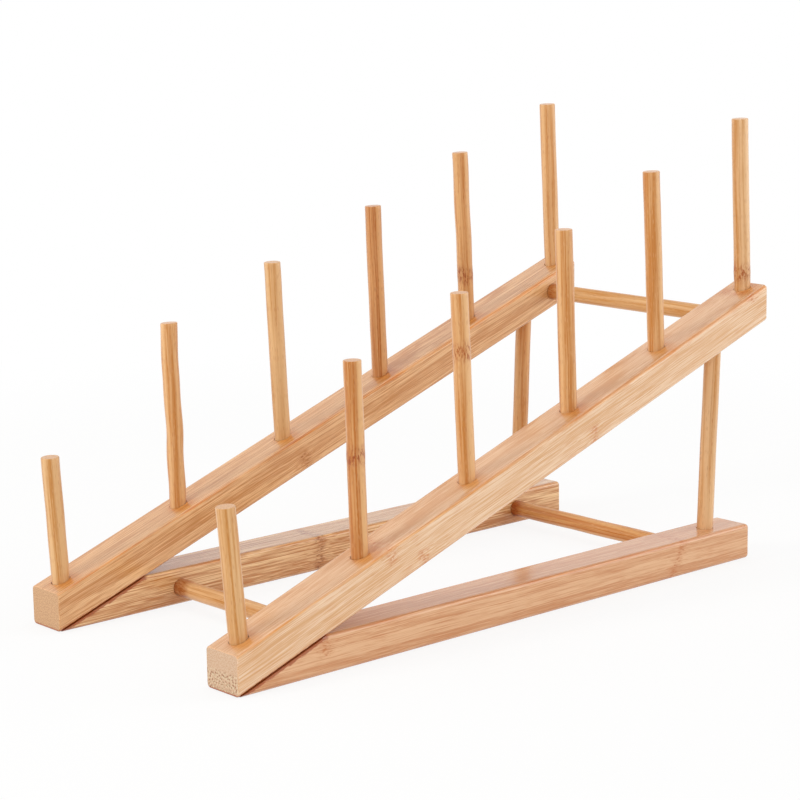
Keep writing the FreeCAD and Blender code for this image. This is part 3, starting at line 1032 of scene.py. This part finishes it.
@dataclass(frozen=True)
class Studio:
    """A plain pale floor, soft light from large panels and a camera at the photograph's angle.

    Lengths are in metres and angles in degrees.
    """

    panels: tuple[Panel, ...] = (
        Panel("panel_front", 0.0, 0.55, 4.9),
        Panel("panel_front_left", -60.0, 0.9, 10.0, size=0.5),
        Panel("panel_left", -105.0, 0.6, 4.5),
        Panel("panel_right", 95.0, 0.6, 10.2),
        Panel("panel_above", 150.0, 1.6, 6.5, distance=0.3),
    )
    floor_size: float = 60.0
    floor_colour: str = "#F4F3F1"
    floor_glow: float = 0.85
    floor_reach: float = 0.7
    room_light: float = 0.5
    azimuth: float = -41.183
    elevation: float = 11.189
    roll: float = -0.974
    aim: tuple[float, float, float] = (-0.00758, 0.00030, 0.09392)
    distance: float = 1.15424
    lens: float = 108.567

    def add(self) -> None:
        """Add the floor, the room's light, the lamps and the camera."""
        self.add_floor()
        self.light_room()
        for panel in self.panels:
            self.add_panel(panel)
        self.add_camera()

    def add_floor(self) -> None:
        """A wide floor that takes the shadow and looks white around it."""
        mesh = bmesh.new()
        bmesh.ops.create_grid(mesh, x_segments=1, y_segments=1, size=self.floor_size / 2)
        data = bpy.data.meshes.new("floor")
        mesh.to_mesh(data)
        mesh.free()
        floor = bpy.data.objects.new("floor", data)
        bpy.context.scene.collection.objects.link(floor)
        material = bpy.data.materials.new("matt_white_paper")
        graph = Graph(material)
        paper = graph.add("BsdfDiffuse", {0: linear(self.floor_colour)})
        glow = graph.add("Emission", {0: WHITE, 1: 1.0})
        # Away from the rack the paper fades into the white of the room
        place = graph.add("TexCoord", {}, "Object")
        reach = graph.add("VectorMath", {0: place}, "Value", operation="LENGTH")
        inputs = {0: reach, 1: self.floor_reach / 2, 2: self.floor_reach, 3: self.floor_glow, 4: 1.0}
        share = graph.add("MapRange", inputs, **SMOOTH)
        share = graph.add("Math", {0: self.seen(graph), 1: share}, operation="MULTIPLY")
        mixed = graph.add("MixShader", {0: share, 1: paper, 2: glow})
        graph.add("OutputMaterial", {0: mixed}, None)
        data.materials.append(material)

    def seen(self, graph: Graph) -> NodeSocket:
        """Whether the camera sees a surface, straight or in a reflection or through glass.

        Args:
            graph: The material's or the world's graph.

        Returns:
            1 for such a ray, and 0 for one that carries light.
        """
        seen: Feed = 0.0
        for ray in ("Is Camera Ray", "Is Glossy Ray", "Is Transmission Ray"):
            kind = graph.add("LightPath", {}, ray)
            seen = graph.add("Math", {0: seen, 1: kind}, operation="MAXIMUM")
        return seen

    def light_room(self) -> None:
        """A white room: seen as white, and giving a softer light."""
        world = bpy.data.worlds.new("white_room")
        bpy.context.scene.world = world
        graph = Graph(world)
        inputs = {0: self.seen(graph), 1: 1.0 - self.room_light, 2: self.room_light}
        strength = graph.add("Math", inputs, operation="MULTIPLY_ADD")
        room = graph.add("Background", {0: WHITE, 1: strength})
        graph.add("OutputWorld", {0: room}, None)

    def add_panel(self, panel: Panel) -> None:
        """Hang one light panel around the rack.

        Args:
            panel: Its place, size and power.
        """
        turn = Matrix.Rotation(math.radians(self.azimuth + panel.turn), 3, "Z")
        spot = turn @ Vector((0, -panel.distance, 0)) + Vector((0, 0, panel.height))
        lamp = bpy.data.lights.new(panel.name, "AREA")
        lamp.size = panel.size
        lamp.energy = panel.power
        hung = bpy.data.objects.new(panel.name, lamp)
        hung.location = spot
        hung.rotation_euler = (Vector(self.aim) - spot).to_track_quat("-Z", "Y").to_euler()
        hung.visible_camera = False
        bpy.context.scene.collection.objects.link(hung)

    def add_camera(self) -> None:
        """The camera, turned round the aim and rolled as the photograph's was."""
        lens = bpy.data.cameras.new("camera")
        lens.lens = self.lens
        camera = bpy.data.objects.new("camera", lens)
        turn = Matrix.Rotation(math.radians(self.azimuth), 4, "Z")
        tilt = Matrix.Rotation(math.radians(90 - self.elevation), 4, "X")
        roll = Matrix.Rotation(math.radians(self.roll), 4, "Z")
        back = Matrix.Translation((0, 0, self.distance))
        camera.matrix_world = Matrix.Translation(self.aim) @ turn @ tilt @ roll @ back
        bpy.context.scene.collection.objects.link(camera)
        bpy.context.scene.camera = camera


# Painted sheen on the right-hand side of most dowels
PAINTED_SHEEN_RIGHT = GrainAndSheenSlab(2.8, 1.7, -0.5)
FAINT_PAINTED_SHEEN_RIGHT = GrainAndSheenSlab(2.8, 1.7, -0.3)


def left_frame() -> SideFrame:
    """The left frame with what is its pieces' own, pegs counted from the front."""
    # Pale slabs at an offset of about -2.5 mm are painted sheen on a dowel's left-hand side, and those at
    # about 2.8 mm on its right
    growths = (
        Growth(Tone.HONEY, 3.2, layers=(PAINTED_SHEEN_RIGHT, GrainAndSheenSlab(-0.3, 0.6, 0.2), GrainAndSheenSlab(-2.4, 1.2, -0.45))),
        Growth(
            Tone.AMBER,
            5.9,
            layers=(GrainAndSheenSlab(2.8, 1.7, -0.15), GrainAndSheenSlab(1.0, 0.9, 0.2), GrainAndSheenSlab(-2.4, 1.2, -0.3)),
        ),
        Growth(Tone.HONEY, 7.7, layers=(PAINTED_SHEEN_RIGHT, GrainAndSheenSlab(-2.4, 1.5, -0.3))),
        Growth(Tone.RUSSET, 9.4, layers=(PAINTED_SHEEN_RIGHT, GrainAndSheenSlab(0.9, 0.5, 0.2), GrainAndSheenSlab(0.0, 1.3, 0.15))),
        Growth(
            Tone.TOFFEE,
            11.8,
            knuckles=(Knuckle(33.0),),
            layers=(FAINT_PAINTED_SHEEN_RIGHT, GrainAndSheenSlab(-2.2, 1.2, -0.3)),
        ),
        Growth(Tone.AMBER, 13.1, layers=(FAINT_PAINTED_SHEEN_RIGHT, GrainAndSheenSlab(0.3, 1.2, -0.2), GrainAndSheenSlab(-2.7, 1.2, -0.5))),
    )
    return SideFrame(
        Side.LEFT,
        base=Growth(Tone.TAWNY, 5.0, knuckles=(Knuckle(155.0, 9.0, 10.0),)),
        # The sloped rail's top tint is painted shade on its top face
        sloped=Growth(Tone.TAN, 13.0, knuckles=(Knuckle(158.5, 5.0, 5.0),), top_shade_tint="#F8F2EC"),
        post=Growth(Tone.TOFFEE, 2.1, layers=(GrainAndSheenSlab(-2.8, 1.7, -0.1), GrainAndSheenSlab(2.8, 1.5, -0.2))),
        pegs=growths,
        cut_slants={2: 3.0, 4: 1.5, 5: 1.0},
        unevenness={2: 0.5, 5: 0.4},
    )


def right_frame() -> SideFrame:
    """The right frame with what is its pieces' own, pegs counted from the front."""
    # Pale slabs at an offset of about -2.5 mm are painted sheen on a dowel's left-hand side, and those at
    # about 2.8 mm on its right
    sheen_and_dark_middle = (PAINTED_SHEEN_RIGHT, GrainAndSheenSlab(0.2, 0.6, 0.25), GrainAndSheenSlab(-2.6, 1.6, 0.15))
    growths = (
        Growth(
            Tone.HONEY,
            19.3,
            layers=(GrainAndSheenSlab(2.9, 1.7, -0.1), GrainAndSheenSlab(0.2, 1.4, 0.25), GrainAndSheenSlab(-2.8, 1.5, -0.1)),
        ),
        Growth(Tone.TOFFEE, 23.0, knuckles=(Knuckle(55.0),), layers=sheen_and_dark_middle),
        Growth(Tone.AMBER, 25.7, knuckles=(Knuckle(70.0),), layers=(PAINTED_SHEEN_RIGHT, GrainAndSheenSlab(-0.2, 1.2, 0.15))),
        Growth(
            Tone.AMBER,
            27.2,
            layers=(GrainAndSheenSlab(2.8, 1.7, -0.1), GrainAndSheenSlab(0.4, 0.4, 0.3), GrainAndSheenSlab(-2.7, 1.0, -0.5)),
        ),
        Growth(Tone.AMBER, 29.9, layers=(FAINT_PAINTED_SHEEN_RIGHT, GrainAndSheenSlab(-2.6, 1.4, 0.15))),
        Growth(
            Tone.STRAW,
            31.4,
            knuckles=(Knuckle(18.0),),
            layers=(FAINT_PAINTED_SHEEN_RIGHT, GrainAndSheenSlab(0.3, 1.2, -0.15), GrainAndSheenSlab(-2.6, 1.2, 0.15)),
        ),
    )
    sloped_knuckles = (
        Knuckle(97.0, 15.0, 5.0),
        Knuckle(113.5, 4.0, 4.0),
        Knuckle(228.0, 5.0, 5.0),
        Knuckle(351.0, 17.5, 3.5),
    )
    return SideFrame(
        Side.RIGHT,
        base=Growth(Tone.PALE, 3.0, knuckles=(Knuckle(48.0, 12.0, 4.0), Knuckle(272.0, 9.0, 10.0, 0.5))),
        # The sloped rail's top tint is painted shade on its top face
        sloped=Growth(Tone.CREAM, 7.8, knuckles=sloped_knuckles, top_shade_tint="#F2E2D0"),
        post=Growth(Tone.STRAW, 17.6, layers=(GrainAndSheenSlab(-2.8, 1.7, -0.15), GrainAndSheenSlab(1.0, 2.4, -0.3))),
        pegs=growths,
        coarse_end=9.0,
    )


def crossbars() -> tuple[Dowel, ...]:
    """The three bars that hold the side frames apart."""
    growths = {
        # Knuckles near the far ends carry the painted shade where the bars go into the far rail
        "front_crossbar": Growth(Tone.STRAW, 33.5, knuckles=(Knuckle(117.0), Knuckle(121.0))),
        "rear_crossbar": Growth(
            Tone.TOFFEE, 35.8, knuckles=(Knuckle(120.0),), layers=(GrainAndSheenSlab(1.5, 0.4, 0.7),)
        ),
        "top_crossbar": Growth(Tone.HONEY, 37.3, knuckles=(Knuckle(120.0),)),
    }
    return tuple(Dowel(node, growth, CROSSBAR_BAMBOO) for node, growth in growths.items())


def main() -> None:
    """Dress the rack piece by piece, then set up the studio."""
    logging.basicConfig(level=logging.INFO, format="%(name)s: %(message)s")
    bpy.context.scene.view_settings.view_transform = "Standard"
    for side_frame in (left_frame(), right_frame()):
        side_frame.add()
    for crossbar in crossbars():
        crossbar.add()
    dress("joint_screws", ZincSteel().material("zinc_plated_steel"))
    Studio().add()


if __name__ == "__main__":
    main()
